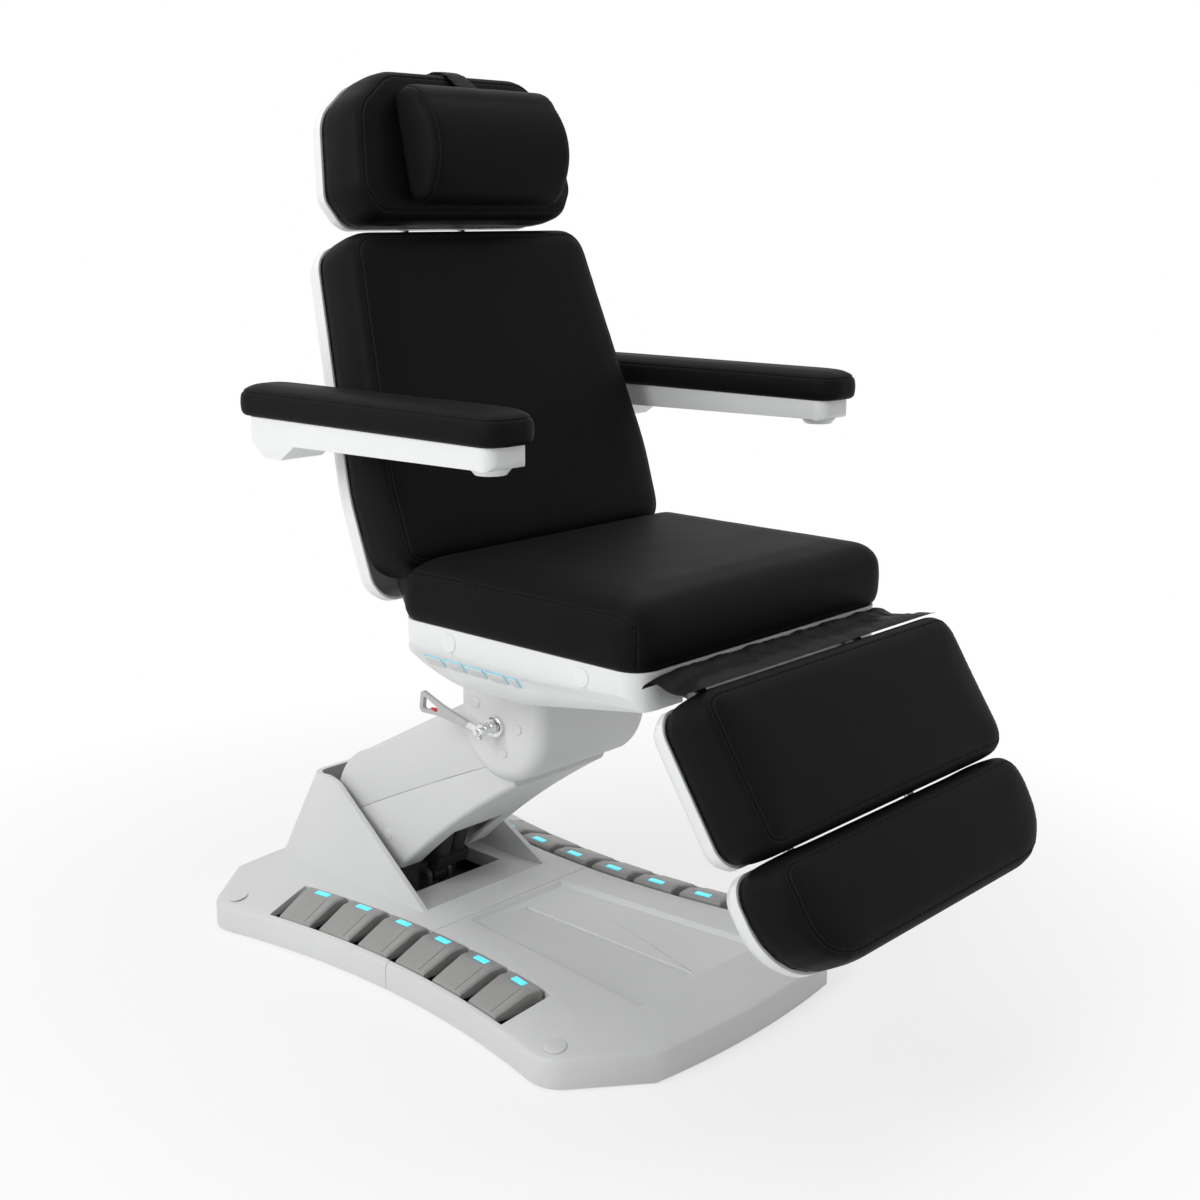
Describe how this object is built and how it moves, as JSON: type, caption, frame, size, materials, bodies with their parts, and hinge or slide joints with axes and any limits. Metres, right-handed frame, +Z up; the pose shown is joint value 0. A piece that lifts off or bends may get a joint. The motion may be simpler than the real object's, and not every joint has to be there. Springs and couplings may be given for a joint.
{
  "type": "procedure chair",
  "caption": "Powered procedure chair with a pedal-lined floor base, parallel lift arm, swivel seat, reclining back, tilting leg rest with sliding foot rest, headrest and armrests.",
  "frame": {"origin": "middle of the base's outline, on the floor", "axes": "+X to the sitter's left, -Y to the front where the feet go, +Z up"},
  "size_m": [0.84, 1.3972, 1.4573],
  "materials": {
    "black_leather": "matt upholstery",
    "white_shell": "satin moulding",
    "base_grey": "fine textured moulding",
    "pedal_grey": "satin moulding",
    "dark_plastic": "matt moulding",
    "steel_frame": "powder coat",
    "bright_steel": "ground",
    "chrome_joint": "polished",
    "handle_grey": "satin",
    "rubber_foot": "matt",
    "gaiter_cloth": "soft coated cloth"
  },
  "bodies": {
    "base": {"base_cover_front": "base_grey", "base_cover_rear": "base_grey", "base_plate": "steel_frame", "levelling_feet": "rubber_foot", "tower_pins": "bright_steel", "pedal_trays": "dark_plastic", "pedal_pins": "bright_steel", "mains_inlet": "dark_plastic"},
    "lift_arm": {"lift_beam": "steel_frame", "arm_cover_upper": "base_grey", "arm_cover_lower": "base_grey"},
    "level_bars": {"level_link": "steel_frame"},
    "actuator_tube": {"lift_actuator": "dark_plastic"},
    "actuator_rod": {"lift_rod": "bright_steel"},
    "yoke": {"yoke_housing": "base_grey", "yoke_pins": "bright_steel", "swivel_ring": "bright_steel", "lock_socket": "chrome_joint"},
    "lever": {"lever_knuckle": "chrome_joint", "lever_handle": "handle_grey"},
    "seat": {"seat_frame": "steel_frame", "seat_tray": "white_shell", "seat_cushion": "black_leather", "seat_hinge_pins": "bright_steel", "tray_motors": "dark_plastic"},
    "backrest": {"back_frame": "steel_frame", "back_shell": "white_shell", "back_cushion": "black_leather"},
    "headrest": {"headrest_posts": "bright_steel", "headrest_shell": "white_shell", "headrest_cushion": "black_leather", "neck_pillow": "black_leather"},
    "arm_left": {"arm_left_bracket": "white_shell", "arm_left_pad": "black_leather"},
    "arm_right": {"arm_right_bracket": "white_shell", "arm_right_pad": "black_leather"},
    "legrest": {"leg_frame": "steel_frame", "calf_shell": "white_shell", "calf_cushion": "black_leather", "leg_gaiter": "gaiter_cloth"},
    "footrest": {"foot_rails": "bright_steel", "foot_shell": "white_shell", "foot_cushion": "black_leather"},
    "pedal_left_1": {"pedal_left_1": "pedal_grey"},
    "pedal_left_2": {"pedal_left_2": "pedal_grey"},
    "pedal_left_3": {"pedal_left_3": "pedal_grey"},
    "pedal_left_4": {"pedal_left_4": "pedal_grey"},
    "pedal_left_5": {"pedal_left_5": "pedal_grey"},
    "pedal_left_6": {"pedal_left_6": "pedal_grey"},
    "pedal_right_1": {"pedal_right_1": "pedal_grey"},
    "pedal_right_2": {"pedal_right_2": "pedal_grey"},
    "pedal_right_3": {"pedal_right_3": "pedal_grey"},
    "pedal_right_4": {"pedal_right_4": "pedal_grey"},
    "pedal_right_5": {"pedal_right_5": "pedal_grey"},
    "pedal_right_6": {"pedal_right_6": "pedal_grey"},
    "seat_button_1": {"seat_button_1": "handle_grey"},
    "seat_button_2": {"seat_button_2": "handle_grey"},
    "seat_button_3": {"seat_button_3": "handle_grey"},
    "seat_button_4": {"seat_button_4": "handle_grey"},
    "seat_button_5": {"seat_button_5": "handle_grey"}
  },
  "joints": [
    {"name": "lift", "type": "hinge", "parent": "base", "child": "lift_arm", "pos_m": [0, 0.3, 0.163], "axis": [-1, 0, 0], "range_deg": [-15, 22]},
    {"name": "yoke_level", "type": "hinge", "parent": "lift_arm", "child": "yoke", "pos_m": [0, -0.104, 0.43797], "axis": [-1, 0, 0], "range_deg": [-22.5, 15.5]},
    {"name": "link_swing", "type": "hinge", "parent": "base", "child": "level_bars", "pos_m": [0, 0.26905, 0.11753], "axis": [-1, 0, 0], "range_deg": [-15.5, 22.5]},
    {"name": "actuator_swing", "type": "hinge", "parent": "base", "child": "actuator_tube", "pos_m": [0, 0.205, 0.06], "axis": [-1, 0, 0], "range_deg": [-11.27, 16.06]},
    {"name": "actuator_stroke", "type": "slide", "parent": "actuator_tube", "child": "actuator_rod", "axis": [0, -0.3102, 0.9507], "range_m": [-0.03218, 0.04673]},
    {"name": "lock_lever", "type": "hinge", "parent": "yoke", "child": "lever", "pos_m": [-0.168, -0.104, 0.43797], "axis": [1, 0, 0], "range_deg": [-60, 10]},
    {"name": "swivel", "type": "hinge", "parent": "yoke", "child": "seat", "pos_m": [0, -0.104, 0.51697], "axis": [0, 0, 1], "range_deg": [-120, 120]},
    {"name": "recline", "type": "hinge", "parent": "seat", "child": "backrest", "pos_m": [0, -0.02064, 0.63595], "axis": [-1, 0, 0], "range_deg": [0, 70]},
    {"name": "head_slide", "type": "slide", "parent": "backrest", "child": "headrest", "axis": [0, 0.309, 0.9511], "range_m": [0, 0.08]},
    {"name": "arm_left_tilt", "type": "hinge", "parent": "backrest", "child": "arm_left", "pos_m": [0.325, 0.08332, 0.89763], "axis": [-1, 0, 0], "range_deg": [-70, 85]},
    {"name": "arm_right_tilt", "type": "hinge", "parent": "backrest", "child": "arm_right", "pos_m": [-0.325, 0.08332, 0.89763], "axis": [-1, 0, 0], "range_deg": [-70, 85]},
    {"name": "leg_tilt", "type": "hinge", "parent": "seat", "child": "legrest", "pos_m": [0, -0.56198, 0.59601], "axis": [-1, 0, 0], "range_deg": [-8, 57], "deforming": ["leg_gaiter"]},
    {"name": "foot_slide", "type": "slide", "parent": "legrest", "child": "footrest", "axis": [0, -0.5446, -0.8387], "range_m": [0, 0.12]},
    {"name": "pedal_left_1_press", "type": "hinge", "parent": "base", "child": "pedal_left_1", "pos_m": [0.22326, -0.24566, 0.052], "axis": [-0.1478, 0.989, 0], "range_deg": [0, 3.5], "stiffness_Nm_per_rad": 40, "springref_deg": -1.72},
    {"name": "pedal_left_2_press", "type": "hinge", "parent": "base", "child": "pedal_left_2", "pos_m": [0.21158, -0.14774, 0.052], "axis": [-0.0889, 0.996, 0], "range_deg": [0, 3.5], "stiffness_Nm_per_rad": 40, "springref_deg": -1.72},
    {"name": "pedal_left_3_press", "type": "hinge", "parent": "base", "child": "pedal_left_3", "pos_m": [0.20573, -0.04931, 0.052], "axis": [-0.0297, 0.9996, 0], "range_deg": [0, 3.5], "stiffness_Nm_per_rad": 40, "springref_deg": -1.72},
    {"name": "pedal_left_4_press", "type": "hinge", "parent": "base", "child": "pedal_left_4", "pos_m": [0.20573, 0.04931, 0.052], "axis": [0.0297, 0.9996, 0], "range_deg": [0, 3.5], "stiffness_Nm_per_rad": 40, "springref_deg": -1.72},
    {"name": "pedal_left_5_press", "type": "hinge", "parent": "base", "child": "pedal_left_5", "pos_m": [0.21158, 0.14774, 0.052], "axis": [0.0889, 0.996, 0], "range_deg": [0, 3.5], "stiffness_Nm_per_rad": 40, "springref_deg": -1.72},
    {"name": "pedal_left_6_press", "type": "hinge", "parent": "base", "child": "pedal_left_6", "pos_m": [0.22326, 0.24566, 0.052], "axis": [0.1478, 0.989, 0], "range_deg": [0, 3.5], "stiffness_Nm_per_rad": 40, "springref_deg": -1.72},
    {"name": "pedal_right_1_press", "type": "hinge", "parent": "base", "child": "pedal_right_1", "pos_m": [-0.22326, -0.24566, 0.052], "axis": [-0.1478, -0.989, 0], "range_deg": [0, 3.5], "stiffness_Nm_per_rad": 40, "springref_deg": -1.72},
    {"name": "pedal_right_2_press", "type": "hinge", "parent": "base", "child": "pedal_right_2", "pos_m": [-0.21158, -0.14774, 0.052], "axis": [-0.0889, -0.996, 0], "range_deg": [0, 3.5], "stiffness_Nm_per_rad": 40, "springref_deg": -1.72},
    {"name": "pedal_right_3_press", "type": "hinge", "parent": "base", "child": "pedal_right_3", "pos_m": [-0.20573, -0.04931, 0.052], "axis": [-0.0297, -0.9996, 0], "range_deg": [0, 3.5], "stiffness_Nm_per_rad": 40, "springref_deg": -1.72},
    {"name": "pedal_right_4_press", "type": "hinge", "parent": "base", "child": "pedal_right_4", "pos_m": [-0.20573, 0.04931, 0.052], "axis": [0.0297, -0.9996, 0], "range_deg": [0, 3.5], "stiffness_Nm_per_rad": 40, "springref_deg": -1.72},
    {"name": "pedal_right_5_press", "type": "hinge", "parent": "base", "child": "pedal_right_5", "pos_m": [-0.21158, 0.14774, 0.052], "axis": [0.0889, -0.996, 0], "range_deg": [0, 3.5], "stiffness_Nm_per_rad": 40, "springref_deg": -1.72},
    {"name": "pedal_right_6_press", "type": "hinge", "parent": "base", "child": "pedal_right_6", "pos_m": [-0.22326, 0.24566, 0.052], "axis": [0.1478, -0.989, 0], "range_deg": [0, 3.5], "stiffness_Nm_per_rad": 40, "springref_deg": -1.72},
    {"name": "seat_button_1_press", "type": "slide", "parent": "seat", "child": "seat_button_1", "axis": [0.7938, 0, 0.6082], "range_m": [0, 0.002], "stiffness_N_per_m": 900, "springref_m": -0.001},
    {"name": "seat_button_2_press", "type": "slide", "parent": "seat", "child": "seat_button_2", "axis": [0.7938, 0, 0.6082], "range_m": [0, 0.002], "stiffness_N_per_m": 900, "springref_m": -0.001},
    {"name": "seat_button_3_press", "type": "slide", "parent": "seat", "child": "seat_button_3", "axis": [0.7938, 0, 0.6082], "range_m": [0, 0.002], "stiffness_N_per_m": 900, "springref_m": -0.001},
    {"name": "seat_button_4_press", "type": "slide", "parent": "seat", "child": "seat_button_4", "axis": [0.7938, 0, 0.6082], "range_m": [0, 0.002], "stiffness_N_per_m": 900, "springref_m": -0.001},
    {"name": "seat_button_5_press", "type": "slide", "parent": "seat", "child": "seat_button_5", "axis": [0.7938, 0, 0.6082], "range_m": [0, 0.002], "stiffness_N_per_m": 900, "springref_m": -0.001}
  ],
  "couplings": [
    {"joint": "yoke_level", "follows": "lift", "ratio": -1},
    {"joint": "link_swing", "follows": "lift", "ratio": 1},
    {"joint": "actuator_swing", "follows": "lift", "ratio": 0.6845},
    {"joint": "actuator_stroke", "follows": "lift", "m_per_rad": 0.1191}
  ]
}
